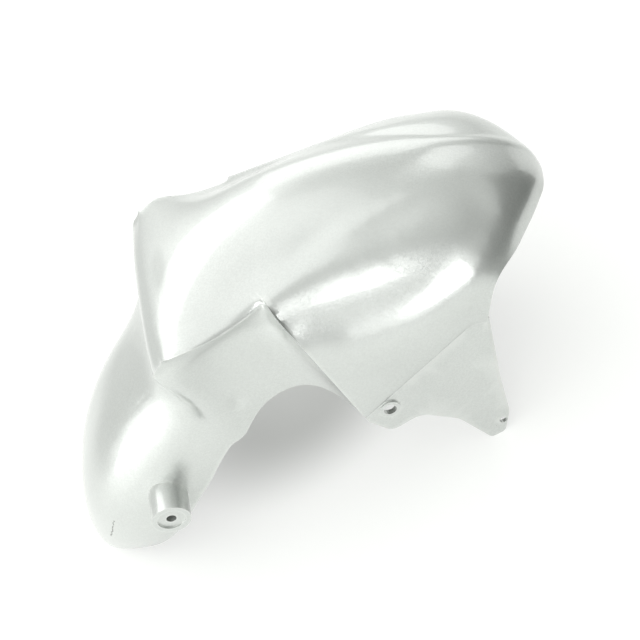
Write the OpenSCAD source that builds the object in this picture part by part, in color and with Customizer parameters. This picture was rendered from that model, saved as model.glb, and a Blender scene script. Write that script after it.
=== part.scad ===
// Motorcycle front mudguard: one moulded shell of painted plastic.
// It stands on the tip of its tail and on the corners of its two side fins, with +Z up and +X to the front.
// The origin is on that plane, below the middle of the mudguard.
// Profiles are set out as a radius and an angle about the wheel axis. The angle is 0 at the front
// and 90 at the top. Heights are measured from the wheel axis, which lies below the standing plane.

/* [Wheel and stance] */
// Height of the standing plane above the wheel axis
stand_height = 98.5; // [94:0.5:103]
// Wall of the moulded shell
wall = 3; // [2:0.1:3.5]

/* [Hood] */
// Radius of the hood along its centre line, at its highest
hood_radius = 346; // [340:1:352]
// Angle about the axle at which the hood is highest
hood_peak = 92; // [88:1:96]
// How far the nose drops below the hood radius
nose_drop = 16; // [12:1:20]
// How far the front edge of the nose curls down
nose_curl = 14; // [10:1:17]
// Angle about the axle of the tip of the nose
nose_angle = 50.5; // [48:0.5:53]
// Angle about the axle of the lip at the back of the hood
lip_angle = 105.2; // [104:0.2:107]
// Half of the width of the lip, out to its pointed corners
lip_half_width = 93; // [90:1:96]
// How far the rim of the centre panel lies below its middle
rim_drop = 15; // [11:1:19]
// Half of the width of the centre panel where it ends in the nose
spine_half_width = 8; // [6:1:12]
// Angle about the axle at which the centre panel ends in the nose
spine_end = 65; // [62:1:68]

/* [Side panels] */
// Half of the width over the lower edges of the side panels
panel_half_width = 103; // [101:0.5:106]
// Height above the axle of the panels' lower edge, at their back
panel_foot = 200; // [196:1:204]
// Rise of the panels' lower edge for each millimetre forward
panel_rise = 0.33; // [0.3:0.01:0.36]
// Angle about the axle at which the panels' front edge meets the fins
panel_front = 63.5; // [62:0.5:65]
// Angle about the axle of the panels' back edge at the rim
panel_back = 91.7; // [91:0.1:92.4]

/* [Fork channels] */
// Half of the width between the floors of the two channels
channel_half_width = 75; // [73:0.5:77]
// Length of the channels from front to back
channel_length = 86; // [82:1:90]
// Radius of the curve that joins a panel's back edge to the channel floor
channel_fillet = 30; // [24:1:36]
// Height above the axle of the top of the arch below each channel
arch_top = 238.5; // [234:0.5:243]

/* [Tail] */
// Largest radius of the tail along its centre line
tail_radius = 320; // [316:1:324]
// Half of the width of the tail where it is widest
tail_half_width = 78; // [76:1:81]
// Depth of the tail's side walls
tail_depth = 86; // [81:1:90]
// Angle about the axle of the tip of the tail
tail_angle = 161.5; // [159:0.5:163]

/* [Fins] */
// Half of the width over the outer faces of the two fins
fin_half_width = 98; // [97:0.5:99]
// Distance of the upper bolt hole in front of the axle
upper_hole_x = 18; // [15:1:21]
// Distance of the upper bolt hole below the back end of the panels' lower edge
upper_hole_drop = 10; // [8:1:12]
// Diameter of the upper bolt hole
upper_hole_d = 10; // [8:0.5:12]
// Width of the raised ring round the upper bolt hole
upper_ring = 3; // [2:0.5:4]
// Distance of the lower bolt hole in front of the axle
lower_hole_x = 84; // [82:1:86]
// Height of the lower bolt hole above the standing plane
lower_hole_rise = 13.5; // [12:0.5:16]
// Diameter of the lower bolt hole
lower_hole_d = 6.5; // [5:0.5:8]

/* [Tail bosses] */
// Distance of the boss behind the axle
boss_back = 173; // [168:1:177]
// Height of the boss above the axle
boss_height = 195; // [190:1:200]
// Half of the width over the end faces of the two bosses
boss_half_width = 98; // [94:1:102]
// Outer diameter of the boss
boss_d = 31; // [28:0.5:34]
// Diameter of the shallow seat in the boss
boss_seat_d = 22; // [18:0.5:24]
// Diameter of the bolt hole in the boss
boss_hole_d = 8; // [6:0.5:10]

/* [Hidden] */

nose_steps = 18;
channel_steps = 8;
drop_steps = 4;
tail_steps = 15;
plateau_columns = 4;
bevel_columns = 2;
side_columns = 11;
turn_columns = 2;
top_columns = plateau_columns + bevel_columns;
foot_column = top_columns + side_columns;
last_column = foot_column + turn_columns;

lip_step = 2;
lip_run = 0.6;
curl_angle = 2.2;
drop_angle = 4;
drop_share = 0.075;
turn_depth = 3.2;
foot_reach = 256;
upper_hole_z = panel_foot - upper_hole_drop;
lower_hole_z = stand_height + lower_hole_rise;
arch_x = 45;
arch_back_fall = 21;

function clamp(v) = max(0, min(1, v));
function smooth(v) = let (c = clamp(v)) c * c * (3 - 2 * c);
function mix(a, b, t) = a + (b - a) * t;
function at(r, a, y) = [r * cos(a), y, r * sin(a) - stand_height];
function unit(v) = v / max(norm(v), 0.000001);

// Radii along the centre line
function hood_crown(a) =
    hood_radius - nose_drop * pow((hood_peak - a) / (hood_peak - nose_angle), 2);
function tail_crown(a) = tail_radius - 9 * pow((a - 140) / 30, 2);

// The centre panel: a flat top between two creases, and bevels down to the rim
function rim_y(a) = mix(spine_half_width, lip_half_width, pow(clamp((a - spine_end) / 37), 0.9));
function crease_y(a) = rim_y(a) * mix(0.62, 0.9, smooth((a - 92) / 12));
function near_spine(a) = smooth((a - spine_end + 2) / 24);
function near_lip(a) = smooth((lip_angle - a) / 8);
function crease_fall(a) = mix(0.5, mix(2, 7, near_lip(a)), near_spine(a));
function rim_fall(a) = mix(1, rim_drop, near_lip(a) * near_spine(a));
function rim_radius(a) = hood_crown(a) - rim_fall(a);
function top_radius(a, y) =
    let (c = crease_y(a), w = rim_y(a))
    hood_crown(a) - (y <= c
        ? crease_fall(a) * pow(y / c, 2)
        : mix(crease_fall(a), rim_fall(a), (y - c) / (w - c)));
function top_y(a, k) = k <= plateau_columns
    ? crease_y(a) * k / plateau_columns
    : mix(crease_y(a), rim_y(a), (k - plateau_columns) / bevel_columns);
function top_point(a, k) = at(top_radius(a, top_y(a, k)), a, top_y(a, k));

// The side panels: a squared ellipse from the rim down to the lower edge, and a turn inward there
function down_side(k) = clamp((k - top_columns) / side_columns);
function foot_radius(a) = min(panel_foot / (sin(a) - panel_rise * cos(a)), foot_reach);
function foot_y(a) = mix(fin_half_width + 1.5, panel_half_width, smooth((a - panel_front + 1.5) / 12));
function panel_power(a) = mix(0.7, 0.8, smooth((a - 60) / 30));
function panel_point(a, k) =
    let (
        t = down_side(k),
        turn = max(0, k - foot_column) / turn_columns,
        p = panel_power(a),
        y = mix(rim_y(a), foot_y(a), pow(sin(90 * t), p)),
        r = mix(foot_radius(a), rim_radius(a), pow(cos(90 * t), p))
    )
    at(r - 2 * turn_depth * turn, a, mix(y, fin_half_width + 0.4, turn));
function front_angle(k) = mix(nose_angle, panel_front, pow(sin(90 * down_side(k)), 1.4));
function back_angle(k) = mix(panel_back, 90, down_side(k));
function curl(a, k) =
    let (t = down_side(k))
    nose_curl * mix(1, 1.6, smooth(2 * t)) * (1 - smooth(1.6 * t - 0.6)) * exp((front_angle(k) - a) / curl_angle);
function hood_point(a, k) =
    let (p = k <= top_columns ? top_point(a, k) : panel_point(a, k))
    p - curl(a, k) * [cos(a), 0, sin(a)];

// The fork channels: a hollow behind each side panel, down to the arched lower edge
function arch_height(x) = x > -arch_x
    ? mix(arch_top, panel_foot - 2 * turn_depth, pow((x + arch_x) / arch_x, 2.6))
    : arch_top - arch_back_fall * pow((x + arch_x) / (channel_length - arch_x), 2);
function channel_x(s) = s <= 0.6
    ? -channel_fillet * (1 - cos(90 * s / 0.6))
    : mix(-channel_fillet, -channel_length, (s - 0.6) / 0.4);
function channel_y(s) = s <= 0.6
    ? mix(foot_y(90), channel_half_width, sin(90 * s / 0.6))
    : channel_half_width;
function channel_share(s) = -channel_x(s) / channel_length;
function channel_angle(s) = mix(panel_back, lip_angle, channel_share(s));
function panel_edge_x(k) = panel_point(back_angle(k), k)[0];
function channel_point(s, k) =
    let (
        t = down_side(k),
        turn = max(0, k - foot_column) / turn_columns,
        g = channel_share(s),
        near_panel = pow(1 - s, 6),
        rim = top_point(channel_angle(s), top_columns),
        foot_z = arch_height(channel_x(s)) - stand_height + 2 * turn_depth,
        p = panel_power(90),
        fall = mix(1 - pow(cos(90 * t), p), t, g),
        panel_y = mix(rim_y(panel_back), foot_y(90), pow(sin(90 * t), p)),
        floor_y = mix(rim[1], channel_y(s), smooth(t * 3)),
        ridge_y = mix(channel_half_width + 1, lip_half_width, pow(1 - t, 1.6)),
        y = s >= 1 ? ridge_y : mix(floor_y, panel_y, near_panel)
    )
    [
        mix(panel_edge_x(k), mix(rim[0], -channel_length, min(1, g * t + t)), g),
        y + (fin_half_width + 0.4 - foot_y(90)) * turn * near_panel,
        mix(rim[2], foot_z, fall) - 2 * turn_depth * turn
    ];

// The tail: a rounded tongue whose edge is an ellipse seen from the side and from behind
function tail_shrink(s) = pow(max(0, 1 - pow(s, 4.5)), 0.8);
function tail_section(a, s, t) =
    let (
        e = tail_shrink(s),
        p = mix(0.7, 0.9, s),
        crown = tail_crown(a),
        depth = tail_depth * e * mix(0.86, 1, smooth(s / 0.3)),
        y = tail_half_width * pow(e, 0.85) * mix(1, 0.97, t) * pow(sin(90 * t), p),
        r = mix(crown - depth, crown, pow(max(0, cos(90 * t)), p))
    )
    [r, y];

// Just behind the lip and the channels the tail starts with their outline, and drops to its own
function lip_point(k) = k <= top_columns ? top_point(lip_angle, k) : channel_point(1, k);
function tail_point(s, k) =
    let (
        lip = lip_point(k),
        lip_r = norm([lip[0], lip[2] + stand_height]),
        start = atan2(lip[2] + stand_height, lip[0]) + lip_run,
        a = mix(start, tail_angle, s),
        raised = exp(-pow(s * (tail_angle - lip_angle) / drop_angle, 3)),
        outline = mix(
            tail_section(a, s, k / last_column),
            [lip_r - (k <= top_columns ? lip_step : 0), lip[1]],
            raised)
    )
    at(outline[0], a, outline[1]);
function ease_end(v) = 1 - pow(1 - v, 1.7);
tail_shares = concat(
    [for (i = [0:drop_steps]) drop_share * i / drop_steps],
    [for (i = [1:tail_steps]) mix(drop_share, 0.997, ease_end(i / tail_steps))]
);

// Rows of points from the nose to the tip of the tail, on one half of the shell
rows = concat(
    [for (i = [0:nose_steps]) [for (k = [0:last_column])
        hood_point(mix(front_angle(k), back_angle(k), pow(i / nose_steps, 1.25)), k)]],
    [for (i = [1:channel_steps]) let (s = i / channel_steps) [for (k = [0:last_column])
        k <= top_columns ? top_point(channel_angle(s), k) : channel_point(s, k)]],
    [for (s = tail_shares) [for (k = [0:last_column]) tail_point(s, k)]]
);

// Both halves side by side, from the right-hand edge to the left-hand one
function mirror_y(p) = [p[0], -p[1], p[2]];
sheet = [for (row = rows) concat(
    [for (k = [last_column:-1:1]) mirror_y(row[k])],
    [for (k = [0:last_column]) row[k]]
)];
row_count = len(sheet);
column_count = len(sheet[0]);
all_x = [for (row = sheet) for (p = row) p[0]];
middle_x = (max(all_x) + min(all_x)) / 2;

// Direction to the inside of the shell at each patch, and the way there from each point,
// long enough to keep the wall's thickness at a fold
patch_normals = [for (i = [0:row_count - 2]) [for (j = [0:column_count - 2])
    unit(cross(sheet[i + 1][j] - sheet[i][j + 1], sheet[i + 1][j + 1] - sheet[i][j]))]];
function total(list, n) = n < 0 ? [0, 0, 0] : list[n] + total(list, n - 1);
function inward(i, j) =
    let (
        near = [for (u = [max(i - 1, 0):min(i, row_count - 2)]) for (v = [max(j - 1, 0):min(j, column_count - 2)])
            patch_normals[u][v]],
        mean = total(near, len(near) - 1) / len(near)
    )
    mean / max(mean * mean, 0.45);

// A closed wall between the sheet and the same sheet moved inward
module shell() {
    outer = [for (row = sheet) each row];
    inner = [for (i = [0:row_count - 1]) each [for (j = [0:column_count - 1])
        sheet[i][j] + wall * inward(i, j)]];
    size = row_count * column_count;
    function id(i, j, layer) = layer * size + i * column_count + j;
    function patch(a, b, c, d) = [[a, b, c], [a, c, d]];
    last_i = row_count - 1;
    last_j = column_count - 1;
    faces = concat(
        [for (i = [0:last_i - 1]) for (j = [0:last_j - 1]) each
            patch(id(i, j, 0), id(i + 1, j, 0), id(i + 1, j + 1, 0), id(i, j + 1, 0))],
        [for (i = [0:last_i - 1]) for (j = [0:last_j - 1]) each
            patch(id(i, j, 1), id(i, j + 1, 1), id(i + 1, j + 1, 1), id(i + 1, j, 1))],
        [for (i = [0:last_i - 1]) each concat(
            patch(id(i, 0, 0), id(i, 0, 1), id(i + 1, 0, 1), id(i + 1, 0, 0)),
            patch(id(i, last_j, 0), id(i + 1, last_j, 0), id(i + 1, last_j, 1), id(i, last_j, 1)))],
        [for (j = [0:last_j - 1]) each concat(
            patch(id(0, j, 0), id(0, j + 1, 0), id(0, j + 1, 1), id(0, j, 1)),
            patch(id(last_i, j, 0), id(last_i, j, 1), id(last_i, j + 1, 1), id(last_i, j + 1, 0)))]
    );
    polyhedron(points = concat(outer, inner), faces = faces, convexity = 8);
}

// The flat fins below the side panels, each with a lobe round the upper hole and a leg down to the lower one.
// Each corner is a point and the radius that rounds it.
bend_x = let (m = panel_rise, c = panel_foot)
    (sqrt(c * c * m * m - (1 + m * m) * (c * c - foot_reach * foot_reach)) - m * c) / (1 + m * m);
fin_corners = [
    [-1, panel_foot - turn_depth, 0],
    [-1, upper_hole_z - 3, 8],
    [upper_hole_x - 9, upper_hole_z - 25, 9],
    [upper_hole_x + 16, upper_hole_z - 23, 16],
    [upper_hole_x + 38, upper_hole_z - 50, 24],
    [lower_hole_x - 15, stand_height, 5],
    [lower_hole_x - 3, stand_height, 6],
    [lower_hole_x + 8, lower_hole_z + 7, 24],
    [lower_hole_x + 16, lower_hole_z + 52, 60],
    [foot_reach * cos(panel_front), foot_reach * sin(panel_front) - turn_depth, 0],
    [bend_x, panel_foot + panel_rise * bend_x - turn_depth - 1, 0]
];
function corner_arc(p, q, r, radius) =
    let (
        u = unit(p - q),
        v = unit(r - q),
        half = acos(max(-1, min(1, u * v))) / 2,
        reach = min(radius / tan(half), norm(p - q) * 0.49, norm(r - q) * 0.49),
        centre = q + unit(u + v) * reach / cos(half)
    )
    radius <= 0 ? [q] : [for (i = [0:6])
        let (
            from = q + u * reach - centre,
            to = q + v * reach - centre,
            w = unit(mix(from, to, i / 6))
        )
        centre + w * norm(from)];
fin_outline = let (n = len(fin_corners), flat = [for (c = fin_corners) [c[0], c[1] - stand_height]])
    [for (i = [0:n - 1]) each
        corner_arc(flat[(i + n - 1) % n], flat[i], flat[(i + 1) % n], fin_corners[i][2])];

module to_the_right(y) {
    translate([0, -y, 0]) rotate([90, 0, 0]) children();
}

module fin() {
    to_the_right(fin_half_width - wall) linear_extrude(wall) polygon(fin_outline);
    to_the_right(fin_half_width - wall)
        translate([upper_hole_x, upper_hole_z - stand_height, 0])
            cylinder(h = wall + 1.5, d = upper_hole_d + 2 * upper_ring, $fn = 48);
}

module fin_holes() {
    to_the_right(fin_half_width - 2 * wall) {
        translate([upper_hole_x, upper_hole_z - stand_height, 0])
            cylinder(h = 4 * wall, d = upper_hole_d, $fn = 48);
        translate([lower_hole_x, lower_hole_z - stand_height, 0])
            cylinder(h = 4 * wall, d = lower_hole_d, $fn = 48);
    }
}

// A hollow boss on each side of the tail, with a shallow seat and a bolt hole in its end
boss_root = boss_half_width - 36;
module boss() {
    to_the_right(boss_root)
        translate([-boss_back, boss_height - stand_height, 0])
            cylinder(h = boss_half_width - boss_root, d = boss_d, $fn = 64);
}

module boss_holes() {
    to_the_right(boss_root - 1) translate([-boss_back, boss_height - stand_height, 0]) {
        cylinder(h = boss_half_width - boss_root + 1 - wall - 1.5, d = boss_d - 2 * wall, $fn = 64);
        cylinder(h = boss_half_width - boss_root + 4, d = boss_hole_d, $fn = 48);
    }
    to_the_right(boss_half_width - 1.5) translate([-boss_back, boss_height - stand_height, 0])
        cylinder(h = 4, d = boss_seat_d, $fn = 48);
}

module both_sides() {
    children();
    mirror([0, 1, 0]) children();
}

module mudguard() {
    color("silver") translate([-middle_x, 0, 0]) difference() {
        union() {
            shell();
            both_sides() fin();
            both_sides() boss();
        }
        both_sides() fin_holes();
        both_sides() boss_holes();
    }
}

echo(middle_x = middle_x);
mudguard();
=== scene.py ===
"""Looks of a motorcycle's front mudguard: silver metallic paint on one moulded shell, on a pale floor."""

from __future__ import annotations

import logging
import math
from dataclasses import dataclass
from enum import Enum
from typing import Any

import bmesh
import bpy
from mathutils import Matrix, Vector
from mathutils.bvhtree import BVHTree


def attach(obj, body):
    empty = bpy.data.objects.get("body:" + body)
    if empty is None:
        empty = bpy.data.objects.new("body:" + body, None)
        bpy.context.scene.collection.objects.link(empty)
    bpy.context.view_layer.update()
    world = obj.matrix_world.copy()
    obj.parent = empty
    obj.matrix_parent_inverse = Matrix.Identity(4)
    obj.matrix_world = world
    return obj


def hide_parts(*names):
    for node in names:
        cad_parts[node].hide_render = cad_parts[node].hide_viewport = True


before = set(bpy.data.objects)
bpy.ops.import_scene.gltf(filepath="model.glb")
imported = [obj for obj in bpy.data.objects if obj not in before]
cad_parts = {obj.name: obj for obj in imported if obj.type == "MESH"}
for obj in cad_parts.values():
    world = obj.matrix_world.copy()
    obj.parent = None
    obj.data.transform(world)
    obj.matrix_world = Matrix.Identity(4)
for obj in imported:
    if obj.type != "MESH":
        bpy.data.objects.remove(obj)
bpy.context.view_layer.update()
LOG = logging.getLogger("mudguard")
MM = 0.001
MIDDLE_GREY = (0.5, 0.5, 0.5)
SPOT_CORE = 0.3
Triple = tuple[float, float, float]


class Role(Enum):
    """What a lamp does for the picture."""

    TOP_PANEL = "lamp_top_panel"
    SIDE_PANEL = "lamp_side_panel"
    TAIL = "lamp_tail"
    ROOF = "lamp_roof"
    FAR_PANEL = "lamp_far_panel"


def linear(code: str) -> tuple[float, float, float, float]:
    """Turn an sRGB hex colour into Blender's linear colour.

    Args:
        code: The colour as six hex digits.

    Returns:
        Red, green, blue and an alpha of 1.
    """
    parts = [int(code[i:i + 2], 16) / 255 for i in (0, 2, 4)]
    red, green, blue = [p / 12.92 if p <= 0.04045 else ((p + 0.055) / 1.055) ** 2.4 for p in parts]
    return red, green, blue, 1.0


def per_metre(millimetres: float) -> float:
    """Return the scale of a texture whose pattern repeats after that many millimetres."""
    return 1 / (millimetres * MM)


def add_node(tree: bpy.types.NodeTree, kind: str, settings: dict[str, Any],
             inputs: dict[Any, Any]) -> bpy.types.Node:
    """Add one node to a shader, with its settings, its fixed inputs and its links.

    Args:
        tree: The node tree that takes the node.
        kind: Blender's name for the kind of node.
        settings: Attributes of the node and their values.
        inputs: Inputs by name or number, each with a value or with the output that feeds it.

    Returns:
        The new node.
    """
    node = tree.nodes.new(kind)
    for name, value in settings.items():
        setattr(node, name, value)
    for name, value in inputs.items():
        if isinstance(value, bpy.types.NodeSocket):
            tree.links.new(value, node.inputs[name])
        else:
            node.inputs[name].default_value = value
    return node


def new_material(name: str) -> tuple[bpy.types.Material, bpy.types.NodeTree]:
    """Make an empty material that uses nodes.

    Args:
        name: The material's name.

    Returns:
        The material and its node tree.
    """
    material = bpy.data.materials.new(name)
    material.use_nodes = True
    material.node_tree.nodes.clear()
    return material, material.node_tree


def near_line(tree: bpy.types.NodeTree, place: bpy.types.NodeSocket, start: Vector, end: Vector,
              half_width: float) -> bpy.types.NodeSocket:
    """Mark a narrow band along a straight line in space, 1 on the line and 0 outside the band.

    Args:
        tree: The node tree.
        place: The output that gives the point being shaded, in metres.
        start: One end of the line.
        end: The other end of the line.
        half_width: Half of the width of the band in metres.

    Returns:
        The output that holds the mark.
    """
    run = end - start
    offset = add_node(tree, "ShaderNodeVectorMath", {"operation": "SUBTRACT"},
                      {0: place, 1: start}).outputs[0]
    along = add_node(tree, "ShaderNodeVectorMath", {"operation": "DOT_PRODUCT"},
                     {0: offset, 1: run / run.length_squared}).outputs["Value"]
    held = add_node(tree, "ShaderNodeMath", {"operation": "ADD", "use_clamp": True},
                    {0: along, 1: 0.0}).outputs[0]
    foot = add_node(tree, "ShaderNodeVectorMath", {"operation": "SCALE"},
                    {0: run, "Scale": held}).outputs[0]
    gap = add_node(tree, "ShaderNodeVectorMath", {"operation": "DISTANCE"},
                   {0: offset, 1: foot}).outputs["Value"]
    return add_node(tree, "ShaderNodeMapRange", {"interpolation_type": "SMOOTHSTEP"},
                    {"Value": gap, "From Min": 0.0, "From Max": half_width, "To Min": 1.0, "To Max": 0.0}
                    ).outputs["Result"]


def near_spot(tree: bpy.types.NodeTree, place: bpy.types.NodeSocket, centre: Vector, reach: Vector
              ) -> bpy.types.NodeSocket:
    """Mark a soft oval spot in space, 1 over its core and 0 at its edge.

    Args:
        tree: The node tree.
        place: The output that gives the point being shaded, in metres.
        centre: The middle of the spot.
        reach: How far the spot reaches along each axis, in metres.

    Returns:
        The output that holds the mark.
    """
    offset = add_node(tree, "ShaderNodeVectorMath", {"operation": "SUBTRACT"},
                      {0: place, 1: centre}).outputs[0]
    ratio = add_node(tree, "ShaderNodeVectorMath", {"operation": "DIVIDE"},
                     {0: offset, 1: reach}).outputs[0]
    gap = add_node(tree, "ShaderNodeVectorMath", {"operation": "LENGTH"}, {0: ratio}).outputs["Value"]
    return add_node(tree, "ShaderNodeMapRange", {"interpolation_type": "SMOOTHSTEP"},
                    {"Value": gap, "From Min": SPOT_CORE, "From Max": 1.0, "To Min": 1.0, "To Max": 0.0}
                    ).outputs["Result"]


@dataclass(frozen=True)
class SilverMetallicPaint:
    """Two-stage silver car paint on ABS: sprayed aluminium flake under a polished clear coat.

    The flakes lie nearly flat in the base coat, so the silver has a broad soft gleam that darkens
    where the surface turns away from the light. The clear coat adds a faint sharp reflection.
    Places and the crack's wander are in metres, and a name that ends in mm holds millimetres.
    """

    name: str = "silver_metallic_paint"
    silver: str = "D4D7D4"
    shade: str = "CACDCA"
    # Painted highlight along the hard edges and folds
    edge_highlight_colour: str = "E4E6E3"
    metallic: float = 0.72
    roughness: float = 0.36
    coat_weight: float = 0.8
    coat_roughness: float = 0.06
    coat_ior: float = 1.5
    flake_mm: float = 0.9
    flake_tilt: float = 0.05
    flake_dark: float = 0.95
    flake_bright: float = 1.04
    peel_mm: float = 4.0
    peel_height_mm: float = 0.4
    peel_strength: float = 0.05
    cloud_mm: float = 60.0
    scuff_mm: float = 2.6
    scuff_turn: float = math.radians(35)
    scuff_stretch: Triple = (0.06, 1.0, 1.0)
    scuff_low: float = 0.63
    scuff_high: float = 0.74
    scuff_place: Triple = (0.145, -0.09, 0.185)
    scuff_reach_mm: Triple = (80.0, 40.0, 60.0)
    # Painted dark reflection on the top ahead of the lip: its colour, share, place and reach
    dark_reflection: str = "A9ACA9"
    dark_reflection_share: float = 0.3
    dark_reflection_place: Triple = (-0.0262, -0.0028, 0.2381)
    dark_reflection_reach_mm: Triple = (11.0, 34.0, 12.0)
    marks_roughness: float = 0.14
    crack: str = "54544E"
    crack_half_mm: float = 0.9
    crack_wave_mm: float = 5.0
    crack_wander: float = 0.003
    crack_path: tuple[Triple, ...] = (
        (-0.1877, -0.0552, 0.0793),
        (-0.1938, -0.0533, 0.0722),
        (-0.2007, -0.0505, 0.064),
        (-0.2086, -0.0466, 0.0544),
    )

    def material(self) -> bpy.types.Material:
        """Build the paint.

        Returns:
            The finished material.
        """
        material, tree = new_material(self.name)
        place = add_node(tree, "ShaderNodeTexCoord", {}, {}).outputs["Object"]
        flake = self.flake_colour(tree, place)
        colour = self.sprayed_colour(tree, place, flake)
        scuff = self.scuffs(tree, place)

        # Painted dark reflection: a darker, rougher patch on the top, just ahead of the lip
        dark_reflection = near_spot(tree, place, Vector(self.dark_reflection_place), Vector(self.dark_reflection_reach_mm) * MM)
        dark_reflection_share = add_node(tree, "ShaderNodeMath", {"operation": "MULTIPLY"},
                              {0: dark_reflection, 1: self.dark_reflection_share}).outputs[0]
        colour = add_node(tree, "ShaderNodeMix", {"data_type": "RGBA"},
                          {"Factor": dark_reflection_share, 6: colour, 7: linear(self.dark_reflection)}).outputs[2]

        # Painted highlight: the hard edges and folds of the moulding are lighter, as if they caught the light
        edge = add_node(tree, "ShaderNodeAttribute", {"attribute_name": "painted_edge_highlight"}, {}).outputs["Fac"]
        colour = add_node(tree, "ShaderNodeMix", {"data_type": "RGBA"},
                          {"Factor": edge, 6: colour, 7: linear(self.edge_highlight_colour)}).outputs[2]
        colour = add_node(tree, "ShaderNodeMix", {"data_type": "RGBA"},
                          {"Factor": self.crack_mark(tree, place), 6: colour, 7: linear(self.crack)}
                          ).outputs[2]

        # The scuffs and the painted dark reflection patch are rougher
        rough_marks = add_node(tree, "ShaderNodeMath", {"operation": "MAXIMUM"}, {0: scuff, 1: dark_reflection}).outputs[0]
        roughness = add_node(tree, "ShaderNodeMapRange", {},
                             {"Value": rough_marks, "To Min": self.roughness,
                              "To Max": self.roughness + self.marks_roughness})
        shader = add_node(tree, "ShaderNodeBsdfPrincipled", {}, {
            "Base Color": colour, "Metallic": self.metallic, "Roughness": roughness.outputs["Result"],
            "Normal": self.flake_normal(tree, flake), "Coat Weight": self.coat_weight,
            "Coat Roughness": self.coat_roughness, "Coat IOR": self.coat_ior,
            "Coat Normal": self.coat_normal(tree, place)})
        add_node(tree, "ShaderNodeOutputMaterial", {}, {"Surface": shader.outputs[0]})
        return material

    def flake_colour(self, tree: bpy.types.NodeTree, place: bpy.types.NodeSocket) -> bpy.types.NodeSocket:
        """Give each flake of aluminium a random colour, which stands for its tilt and its brightness.

        Args:
            tree: The node tree.
            place: The output that gives the point being shaded.

        Returns:
            The output that holds the random colour.
        """
        # Flakes are 0.05 mm across. They are drawn at 0.9 mm, the finest grain that shows.
        return add_node(tree, "ShaderNodeTexVoronoi", {"feature": "F1"},
                        {"Vector": place, "Scale": per_metre(self.flake_mm)}).outputs["Color"]

    def flake_normal(self, tree: bpy.types.NodeTree, flake: bpy.types.NodeSocket) -> bpy.types.NodeSocket:
        """Tilt the base coat a little from one flake to the next.

        Args:
            tree: The node tree.
            flake: The output that holds the flakes' random colour.

        Returns:
            The output that holds the tilted normal.
        """
        tilt = add_node(tree, "ShaderNodeVectorMath", {"operation": "SUBTRACT"},
                        {0: flake, 1: MIDDLE_GREY}).outputs[0]
        tilt = add_node(tree, "ShaderNodeVectorMath", {"operation": "SCALE"},
                        {0: tilt, "Scale": self.flake_tilt}).outputs[0]
        normal = add_node(tree, "ShaderNodeNewGeometry", {}, {}).outputs["Normal"]
        tilted = add_node(tree, "ShaderNodeVectorMath", {"operation": "ADD"},
                          {0: normal, 1: tilt}).outputs[0]
        return add_node(tree, "ShaderNodeVectorMath", {"operation": "NORMALIZE"}, {0: tilted}).outputs[0]

    def coat_normal(self, tree: bpy.types.NodeTree, place: bpy.types.NodeSocket) -> bpy.types.NodeSocket:
        """Add the faint orange peel of a sprayed clear coat, with waves of about 4 mm.

        Args:
            tree: The node tree.
            place: The output that gives the point being shaded.

        Returns:
            The output that holds the coat's normal.
        """
        peel = add_node(tree, "ShaderNodeTexNoise", {},
                        {"Vector": place, "Scale": per_metre(self.peel_mm), "Detail": 1.0}).outputs["Fac"]
        return add_node(tree, "ShaderNodeBump", {},
                        {"Height": peel, "Strength": self.peel_strength,
                         "Distance": self.peel_height_mm * MM}).outputs["Normal"]

    def sprayed_colour(self, tree: bpy.types.NodeTree, place: bpy.types.NodeSocket,
                       flake: bpy.types.NodeSocket) -> bpy.types.NodeSocket:
        """Mix the silver, uneven from one pass of the spray gun to the next and from flake to flake.

        Args:
            tree: The node tree.
            place: The output that gives the point being shaded.
            flake: The output that holds the flakes' random colour.

        Returns:
            The output that holds the colour.
        """
        cloud = add_node(tree, "ShaderNodeTexNoise", {},
                         {"Vector": place, "Scale": per_metre(self.cloud_mm), "Detail": 2.0}).outputs["Fac"]
        colour = add_node(tree, "ShaderNodeMix", {"data_type": "RGBA"},
                          {"Factor": cloud, 6: linear(self.silver), 7: linear(self.shade)}).outputs[2]
        grain = add_node(tree, "ShaderNodeSeparateColor", {}, {"Color": flake}).outputs["Red"]
        spark = add_node(tree, "ShaderNodeMapRange", {},
                         {"Value": grain, "To Min": self.flake_dark, "To Max": self.flake_bright})
        return add_node(tree, "ShaderNodeMix", {"data_type": "RGBA", "blend_type": "MULTIPLY"},
                        {"Factor": 1.0, 6: colour, 7: spark.outputs["Result"]}).outputs[2]

    def scuffs(self, tree: bpy.types.NodeTree, place: bpy.types.NodeSocket) -> bpy.types.NodeSocket:
        """Mark fine scuffs from handling, long and thin, on the right side panel only.

        Args:
            tree: The node tree.
            place: The output that gives the point being shaded.

        Returns:
            The output that holds the mark.
        """
        stretched = add_node(tree, "ShaderNodeMapping", {},
                             {"Vector": place, "Rotation": (0.0, self.scuff_turn, 0.0),
                              "Scale": self.scuff_stretch})
        streak = add_node(tree, "ShaderNodeTexNoise", {},
                          {"Vector": stretched.outputs[0], "Scale": per_metre(self.scuff_mm),
                           "Detail": 2.0})
        streak = add_node(tree, "ShaderNodeMapRange", {"interpolation_type": "SMOOTHSTEP"},
                          {"Value": streak.outputs["Fac"], "From Min": self.scuff_low,
                           "From Max": self.scuff_high}).outputs["Result"]
        area = near_spot(tree, place, Vector(self.scuff_place), Vector(self.scuff_reach_mm) * MM)
        return add_node(tree, "ShaderNodeMath", {"operation": "MULTIPLY"}, {0: streak, 1: area}).outputs[0]

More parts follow.
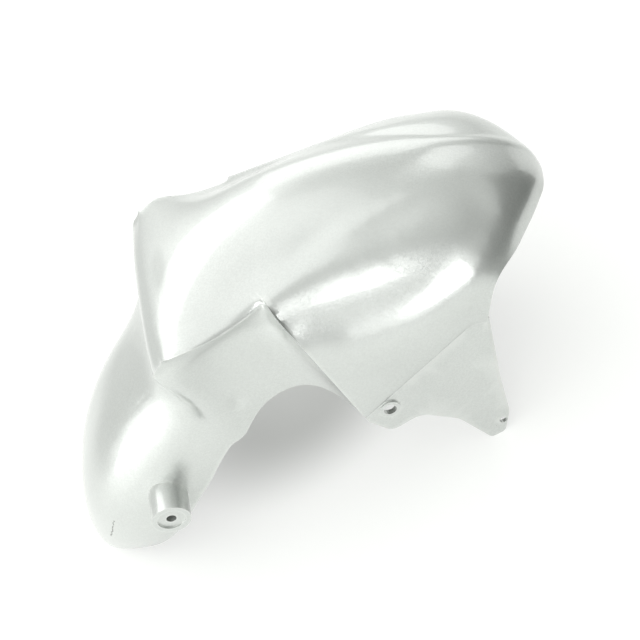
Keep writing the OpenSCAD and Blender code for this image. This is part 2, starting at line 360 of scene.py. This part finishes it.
    def crack_mark(self, tree: bpy.types.NodeTree, place: bpy.types.NodeSocket) -> bpy.types.NodeSocket:
        """Mark a crack in the paint that runs in from the tail's lower edge and wanders a little.

        Args:
            tree: The node tree.
            place: The output that gives the point being shaded.

        Returns:
            The output that holds the mark.
        """
        wander = add_node(tree, "ShaderNodeTexNoise", {},
                          {"Vector": place, "Scale": per_metre(self.crack_wave_mm), "Detail": 2.0})
        wander = add_node(tree, "ShaderNodeVectorMath", {"operation": "SUBTRACT"},
                          {0: wander.outputs["Color"], 1: MIDDLE_GREY}).outputs[0]
        wander = add_node(tree, "ShaderNodeVectorMath", {"operation": "SCALE"},
                          {0: wander, "Scale": self.crack_wander}).outputs[0]
        rough_place = add_node(tree, "ShaderNodeVectorMath", {"operation": "ADD"},
                               {0: place, 1: wander}).outputs[0]
        points = [Vector(point) for point in self.crack_path]
        pieces = [near_line(tree, rough_place, start, end, self.crack_half_mm * MM)
                  for start, end in zip(points, points[1:])]
        mark = pieces[0]
        for piece in pieces[1:]:
            mark = add_node(tree, "ShaderNodeMath", {"operation": "MAXIMUM"}, {0: mark, 1: piece}).outputs[0]
        return mark


@dataclass(frozen=True)
class MouldedInside:
    """Bare grey ABS as it left the mould, dusted in places with silver overspray.

    It is matt and slightly grained, so the inside reads darker and flatter than the paint.
    """

    name: str = "bare_moulded_abs_inside"
    plastic: str = "8F918C"
    overspray: str = "B4B7B2"
    roughness: float = 0.55
    ior: float = 1.53
    grain_mm: float = 1.6
    grain_height_mm: float = 0.3
    grain_strength: float = 0.25
    cloud_mm: float = 45.0
    dust_low: float = 0.42
    dust_high: float = 0.7

    def material(self) -> bpy.types.Material:
        """Build the finish of the inner side.

        Returns:
            The finished material.
        """
        material, tree = new_material(self.name)
        place = add_node(tree, "ShaderNodeTexCoord", {}, {}).outputs["Object"]
        cloud = add_node(tree, "ShaderNodeTexNoise", {},
                         {"Vector": place, "Scale": per_metre(self.cloud_mm), "Detail": 4.0}).outputs["Fac"]
        dust = add_node(tree, "ShaderNodeMapRange", {"interpolation_type": "SMOOTHSTEP"},
                        {"Value": cloud, "From Min": self.dust_low, "From Max": self.dust_high}
                        ).outputs["Result"]
        colour = add_node(tree, "ShaderNodeMix", {"data_type": "RGBA"},
                          {"Factor": dust, 6: linear(self.plastic), 7: linear(self.overspray)}).outputs[2]
        grain = add_node(tree, "ShaderNodeTexNoise", {},
                         {"Vector": place, "Scale": per_metre(self.grain_mm), "Detail": 3.0}).outputs["Fac"]
        bump = add_node(tree, "ShaderNodeBump", {},
                        {"Height": grain, "Strength": self.grain_strength,
                         "Distance": self.grain_height_mm * MM}).outputs["Normal"]
        shader = add_node(tree, "ShaderNodeBsdfPrincipled", {}, {
            "Base Color": colour, "Roughness": self.roughness, "IOR": self.ior, "Normal": bump})
        add_node(tree, "ShaderNodeOutputMaterial", {}, {"Surface": shader.outputs[0]})
        return material


@dataclass(frozen=True)
class Pull:
    """One soft push on the shell, the same on both sides of the middle.

    The place and the move are in millimetres: forward, away from the middle, up. The place counts from
    the wheel's axis. The push has fallen to about a third at the reach, also in millimetres.
    """

    place: Triple
    move: Triple
    reach: float = 24.0


@dataclass
class Mudguard:
    """The painted moulding: hood, side panels, fork channels, tail, fins and bosses in one piece."""

    node: str = "mudguard"
    merge_mm: float = 0.02
    quad_turn: float = math.radians(40)
    quad_skew: float = math.radians(70)
    fold_angle: float = math.radians(34)
    hard_angle: float = math.radians(62)
    fold_crease: float = 0.4
    levels: int = 2
    polish_rounds: int = 6
    polish_factor: float = 0.5
    # Share of the painted highlight on the verts of hard edges and folds
    edge_highlight_share: float = 0.5
    flat_limit: float = 0.9995
    inside_probe: Triple = (0.0, 0.004, 0.03)
    fin_inner_y: float = 0.093
    fin_facing: float = 0.95
    dimple_centre: Triple = (-0.0257, 0.0757, 0.1532)
    dimple_reach: Triple = (0.006, 0.02, 0.012)
    dimple_mm: float = 2.2
    wheel_axis: Triple = (0.048927, 0.0, -0.0985)
    pulls: tuple[Pull, ...] = (
        # The shoulder, from the nose back to the fork channel, on and below its highest line
        Pull((139, 67, 297), (-2, -3, -4)),
        Pull((118, 71, 304), (-1, -5, -5)),
        Pull((102, 87, 293), (-2, -7, -5)),
        Pull((95, 75, 309), (-2, -6, -6)),
        Pull((82, 89, 295), (-2, -7, -5)),
        Pull((71, 79, 312), (-1, -6, -7)),
        Pull((61, 91, 295), (-1, -7, -4)),
        Pull((46, 82, 313), (-1, -7, -6)),
        Pull((39, 92, 294), (-2, -6, -3)),
        Pull((22, 75, 325), (0, -5, -7)),
        Pull((20, 86, 313), (-2, -6, -5)),
        Pull((-8, 83, 326), (0, -4, -7)),
        Pull((-10, 71, 330), (-1, -3, -6)),
        Pull((-40, 82, 328), (0, -3, -3)),
        # The rear top corner of the side panel
        Pull((-11, 81, 324), (1, -4, -8), 16.0),
        # The corner of the lip
        Pull((-94, 92, 326), (4, -7, 0), 13.0),
        # The side of the nose
        Pull((189, 45, 248), (-4, -2, 2), 18.0),
        Pull((169, 67, 251), (-3, -2, 1), 18.0),
    )

    def build(self, paint: bpy.types.Material, inside: bpy.types.Material) -> bpy.types.Object:
        """Copy the CAD shell, round its facets and dress it.

        Args:
            paint: The finish of everything that is seen from outside.
            inside: The finish of the inner side.

        Returns:
            The finished piece.
        """
        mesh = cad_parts[self.node].data.copy()
        mesh.name = "painted_shell"
        piece = bpy.data.objects.new("painted_shell", mesh)
        bpy.context.scene.collection.objects.link(piece)
        mesh.materials.clear()
        mesh.materials.append(paint)
        mesh.materials.append(inside)
        self.merge(mesh)
        self.subdivide(piece)
        self.polish(piece.data)
        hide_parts(self.node)
        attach(piece, "root")
        return piece

    def merge(self, mesh: bpy.types.Mesh) -> None:
        """Join the loose facets into one skin of mostly four-sided faces, crease its folds and reshape it.

        Args:
            mesh: The mesh to change.
        """
        skin = bmesh.new()
        skin.from_mesh(mesh)
        bmesh.ops.remove_doubles(skin, verts=skin.verts, dist=self.merge_mm * MM)
        bmesh.ops.dissolve_degenerate(skin, edges=skin.edges, dist=self.merge_mm * MM)
        bmesh.ops.join_triangles(skin, faces=skin.faces, angle_face_threshold=self.quad_turn,
                                 angle_shape_threshold=self.quad_skew)
        crease = skin.edges.layers.float.new("crease_edge")
        for edge in skin.edges:
            turn = edge.calc_face_angle(0.0)
            if turn > self.hard_angle:
                edge[crease] = 1.0
                edge.smooth = False
            elif turn > self.fold_angle:
                edge[crease] = self.fold_crease
        for face in skin.faces:
            face.smooth = True
            face.material_index = 0
        self.reshape(skin)
        skin.to_mesh(mesh)
        skin.free()

    def reshape(self, skin: bmesh.types.BMesh) -> None:
        """Bring the hood's shoulders, its corners and the side of its nose in, by up to about 9 mm.

        Where the shares of the pushes add up to more than one, their mean is taken.

        Args:
            skin: The skin to change.
        """
        axis = Vector(self.wheel_axis)
        for vert in skin.verts:
            side = 1 if vert.co.y >= 0 else -1
            spot = (vert.co - axis) / MM
            spot.y *= side
            total = 0.0
            push = Vector((0, 0, 0))
            for pull in self.pulls:
                share = math.exp(-((spot - Vector(pull.place)).length / pull.reach) ** 2)
                push += share * Vector(pull.move)
                total += share
            push /= max(total, 1.0)
            push.y *= side
            vert.co += push * MM

    def subdivide(self, piece: bpy.types.Object) -> None:
        """Round the facets with a subdivision surface, and keep its result as the mesh.

        Args:
            piece: The piece whose mesh is replaced.
        """
        modifier = piece.modifiers.new("round_facets", "SUBSURF")
        modifier.levels = self.levels
        modifier.render_levels = self.levels
        modifier.boundary_smooth = "ALL"
        graph = bpy.context.evaluated_depsgraph_get()
        rounded = bpy.data.meshes.new_from_object(piece.evaluated_get(graph), depsgraph=graph)
        piece.modifiers.clear()
        piece.data = rounded

    def polish(self, mesh: bpy.types.Mesh) -> None:
        """Smooth the skin between its folds, press the dimples, mark the edges for their painted highlight
        and mark the inner side.

        Args:
            mesh: The mesh to change.
        """
        skin = bmesh.new()
        skin.from_mesh(mesh)
        edge_light = skin.verts.layers.float.new("painted_edge_highlight")
        hard = [edge for edge in skin.edges if not edge.smooth or edge.calc_face_angle(0.0) > self.fold_angle]
        held = {vert for edge in hard for vert in edge.verts}
        free = [vert for vert in skin.verts if vert not in held]
        for _ in range(self.polish_rounds):
            bmesh.ops.smooth_vert(skin, verts=free, factor=self.polish_factor,
                                  use_axis_x=True, use_axis_y=True, use_axis_z=True)
        self.press_dimple(skin)
        skin.normal_update()
        for face in skin.faces:
            if abs(face.normal.y) > self.flat_limit:
                face.smooth = False
        # Painted highlight: the verts of the hard edges and folds get the lighter edge colour
        for vert in held:
            vert[edge_light] = self.edge_highlight_share
        self.mark_inside(skin)
        skin.to_mesh(mesh)
        skin.free()

    def press_dimple(self, skin: bmesh.types.BMesh) -> None:
        """Press a shallow oval into each fork channel's floor, towards its back.

        Args:
            skin: The skin to change.
        """
        for side in (-1, 1):
            centre = Vector(self.dimple_centre)
            centre.y *= side
            for vert in skin.verts:
                offset = vert.co - centre
                ratio = math.sqrt(sum((offset[i] / self.dimple_reach[i]) ** 2 for i in range(3)))
                if ratio < 1:
                    vert.co.y -= side * self.dimple_mm * MM * math.cos(ratio * math.pi / 2) ** 2

    def mark_inside(self, skin: bmesh.types.BMesh) -> None:
        """Give the inner side its own finish.

        The inner side is what can be reached from the ceiling below the hood without crossing a hard edge,
        with the inner faces of the fins.

        Args:
            skin: The skin to change.
        """
        skin.faces.ensure_lookup_table()
        tree = BVHTree.FromBMesh(skin)
        _, _, first, _ = tree.ray_cast(Vector(self.inside_probe), Vector((0, 0, 1)))
        if first is None:
            LOG.warning("nothing lies above the middle of the wheel space")
            return
        waiting = [skin.faces[first]]
        inner = {first}
        while waiting:
            face = waiting.pop()
            for edge in face.edges:
                if edge.calc_face_angle(0.0) > self.hard_angle or not edge.smooth:
                    continue
                for other in edge.link_faces:
                    if other.index not in inner:
                        inner.add(other.index)
                        waiting.append(other)
        for face in skin.faces:
            centre = face.calc_center_median()
            looks_in = face.normal.y * centre.y < 0 and abs(face.normal.y) > self.fin_facing
            if face.index in inner or looks_in and abs(centre.y) > self.fin_inner_y:
                face.material_index = 1
        LOG.info("inner side: %d of %d faces", sum(f.material_index for f in skin.faces), len(skin.faces))


@dataclass(frozen=True)
class Lamp:
    """One soft box: a rectangular area lamp that points at a spot on the mudguard."""

    role: Role
    place: Triple
    target: Triple
    width: float
    height: float
    power: float

    def build(self) -> bpy.types.Object:
        """Hang the lamp.

        Returns:
            The lamp.
        """
        light = bpy.data.lights.new(self.role.value, "AREA")
        light.shape = "RECTANGLE"
        light.size = self.width
        light.size_y = self.height
        light.energy = self.power
        lamp = bpy.data.objects.new(self.role.value, light)
        lamp.location = self.place
        aim = Vector(self.target) - Vector(self.place)
        lamp.rotation_euler = aim.to_track_quat("-Z", "Y").to_euler()
        bpy.context.scene.collection.objects.link(lamp)
        return lamp


@dataclass
class Studio:
    """The pale floor, the soft boxes, the dark card, the room's light and the camera."""

    floor_half: float = 6.0
    floor_colour: str = "B4B6B3"
    floor_lift: float = 0.56
    # A painted shadow on the floor below the hood, where the lift fades: its place, reach and depth
    painted_shadow_place: Triple = (-0.035, 0.045, 0.0)
    painted_shadow_reach: Triple = (0.15, 0.12, 1.0)
    painted_shadow_depth: float = 0.65
    flag_colour: str = "666866"
    flag_width: float = 0.9
    flag_height: float = 0.36
    flag_place: Triple = (0.45, -0.34, 0.18)
    room_light: str = "F4F6F3"
    room_dark: str = "868886"
    room_strength: float = 0.84
    room_bright_way: Triple = (-0.28, 0.34, 0.9)
    room_low: float = -0.3
    room_high: float = 0.6
    camera_place: Triple = (0.1707, -0.5285, 0.6125)
    camera_right: Triple = (0.8588, -0.2281, -0.4587)
    camera_up: Triple = (0.4826, 0.6606, 0.5751)
    camera_back: Triple = (0.1719, -0.7153, 0.6774)
    lens: float = 51.55
    sensor: float = 36.0
    lamps: tuple[Lamp, ...] = (
        Lamp(Role.TOP_PANEL, place=(-0.6, 1.25, 1.35), target=(-0.1, 0.0, 0.22),
             width=1.2, height=0.9, power=6.0),
        Lamp(Role.SIDE_PANEL, place=(-0.25, -1.45, 0.75), target=(0.0, -0.08, 0.2),
             width=1.1, height=0.7, power=11.0),
        Lamp(Role.TAIL, place=(-1.1, -0.65, 0.44), target=(-0.15, 0.0, 0.14),
             width=1.1, height=0.75, power=5.0),
        Lamp(Role.ROOF, place=(-0.1, 0.1, 2.2), target=(0.0, 0.0, 0.1),
             width=2.0, height=2.0, power=9.0),
        Lamp(Role.FAR_PANEL, place=(0.7, 1.7, 0.95), target=(0.1, 0.0, 0.2),
             width=1.8, height=1.1, power=7.0),
    )

    def build(self) -> None:
        """Set the whole studio up."""
        self.build_floor()
        self.build_flag()
        self.build_room()
        self.build_camera()
        for lamp in self.lamps:
            lamp.build()
            LOG.info("lamp %s at %s", lamp.role.value, lamp.place)

    def build_floor(self) -> None:
        """Lay a large pale floor, which shows white to the camera and in reflections."""
        plane = bmesh.new()
        bmesh.ops.create_grid(plane, x_segments=1, y_segments=1, size=self.floor_half)
        mesh = bpy.data.meshes.new("floor")
        plane.to_mesh(mesh)
        plane.free()
        floor = bpy.data.objects.new("floor", mesh)
        bpy.context.scene.collection.objects.link(floor)
        material, tree = new_material("pale_grey_floor")
        matt = add_node(tree, "ShaderNodeBsdfDiffuse", {}, {"Color": linear(self.floor_colour)})
        glow = add_node(tree, "ShaderNodeEmission", {},
                        {"Color": linear("FFFFFF"), "Strength": self.floor_glow(tree)})
        both = add_node(tree, "ShaderNodeAddShader", {}, {0: matt.outputs[0], 1: glow.outputs[0]})
        add_node(tree, "ShaderNodeOutputMaterial", {}, {"Surface": both.outputs[0]})
        mesh.materials.append(material)

    def floor_glow(self, tree: bpy.types.NodeTree) -> bpy.types.NodeSocket:
        """Lift the floor to white for the camera and for reflections, and light nothing with it.

        The lift is weaker below the hood, which paints a shadow there, deeper than the lamps' own shadow.

        Args:
            tree: The floor's node tree.

        Returns:
            The output that holds the strength of the lift.
        """
        path = add_node(tree, "ShaderNodeLightPath", {}, {})
        seen = add_node(tree, "ShaderNodeMath", {"operation": "MAXIMUM"},
                        {0: path.outputs["Is Camera Ray"], 1: path.outputs["Is Glossy Ray"]}).outputs[0]
        seen = add_node(tree, "ShaderNodeMath", {"operation": "MAXIMUM"},
                        {0: seen, 1: path.outputs["Is Transmission Ray"]}).outputs[0]
        lift = add_node(tree, "ShaderNodeMath", {"operation": "MULTIPLY"},
                        {0: seen, 1: self.floor_lift}).outputs[0]
        place = add_node(tree, "ShaderNodeTexCoord", {}, {}).outputs["Object"]
        # Painted shadow: the lift fades over a soft spot below the hood
        shade = near_spot(tree, place, Vector(self.painted_shadow_place), Vector(self.painted_shadow_reach))
        fade = add_node(tree, "ShaderNodeMapRange", {},
                        {"Value": shade, "To Min": 1.0, "To Max": 1 - self.painted_shadow_depth})
        return add_node(tree, "ShaderNodeMath", {"operation": "MULTIPLY"},
                        {0: lift, 1: fade.outputs["Result"]}).outputs[0]

    def build_flag(self) -> None:
        """Stand a dark card on the floor ahead of the nose, which shows in the paint's gloss only."""
        card = bmesh.new()
        bmesh.ops.create_grid(card, x_segments=1, y_segments=1, size=0.5)
        upright = Matrix.Rotation(math.radians(90), 3, "Y")
        bmesh.ops.rotate(card, verts=card.verts, cent=(0, 0, 0), matrix=upright)
        bmesh.ops.scale(card, verts=card.verts, vec=(1.0, self.flag_width, self.flag_height))
        bmesh.ops.translate(card, verts=card.verts, vec=self.flag_place)
        mesh = bpy.data.meshes.new("dark_flag")
        card.to_mesh(mesh)
        card.free()
        flag = bpy.data.objects.new("dark_flag", mesh)
        bpy.context.scene.collection.objects.link(flag)
        flag.visible_camera = False
        flag.visible_shadow = False
        flag.visible_diffuse = False
        material, tree = new_material("dark_grey_felt")
        felt = add_node(tree, "ShaderNodeBsdfDiffuse", {}, {"Color": linear(self.flag_colour)})
        add_node(tree, "ShaderNodeOutputMaterial", {}, {"Surface": felt.outputs[0]})
        mesh.materials.append(material)

    def build_room(self) -> None:
        """Light the room from above, a little more from behind and from the left, and less from below."""
        world = bpy.data.worlds.new("pale_room")
        bpy.context.scene.world = world
        world.use_nodes = True
        tree = world.node_tree
        tree.nodes.clear()
        way = add_node(tree, "ShaderNodeTexCoord", {}, {}).outputs["Generated"]
        rise = add_node(tree, "ShaderNodeVectorMath", {"operation": "DOT_PRODUCT"},
                        {0: way, 1: Vector(self.room_bright_way).normalized()}).outputs["Value"]
        share = add_node(tree, "ShaderNodeMapRange", {"interpolation_type": "SMOOTHSTEP"},
                         {"Value": rise, "From Min": self.room_low, "From Max": self.room_high}
                         ).outputs["Result"]
        colour = add_node(tree, "ShaderNodeMix", {"data_type": "RGBA"},
                          {"Factor": share, 6: linear(self.room_dark), 7: linear(self.room_light)}
                          ).outputs[2]
        glow = add_node(tree, "ShaderNodeBackground", {}, {"Color": colour, "Strength": self.room_strength})
        add_node(tree, "ShaderNodeOutputWorld", {}, {"Surface": glow.outputs[0]})

    def build_camera(self) -> None:
        """Place the camera where the photograph was taken from."""
        camera = bpy.data.objects.new("camera", bpy.data.cameras.new("camera"))
        camera.data.sensor_fit = "HORIZONTAL"
        camera.data.sensor_width = self.sensor
        camera.data.lens = self.lens
        axes = Matrix((self.camera_right, self.camera_up, self.camera_back)).transposed().to_4x4()
        camera.matrix_world = Matrix.Translation(Vector(self.camera_place)) @ axes
        bpy.context.scene.collection.objects.link(camera)
        bpy.context.scene.camera = camera


def main() -> None:
    """Build the piece and the studio."""
    logging.basicConfig(level=logging.INFO, format="%(name)s: %(message)s")
    bpy.context.scene.view_settings.view_transform = "Standard"
    Studio().build()
    shell = Mudguard().build(SilverMetallicPaint().material(), MouldedInside().material())
    LOG.info("%s has %d faces", shell.name, len(shell.data.polygons))


if __name__ == "__main__":
    main()
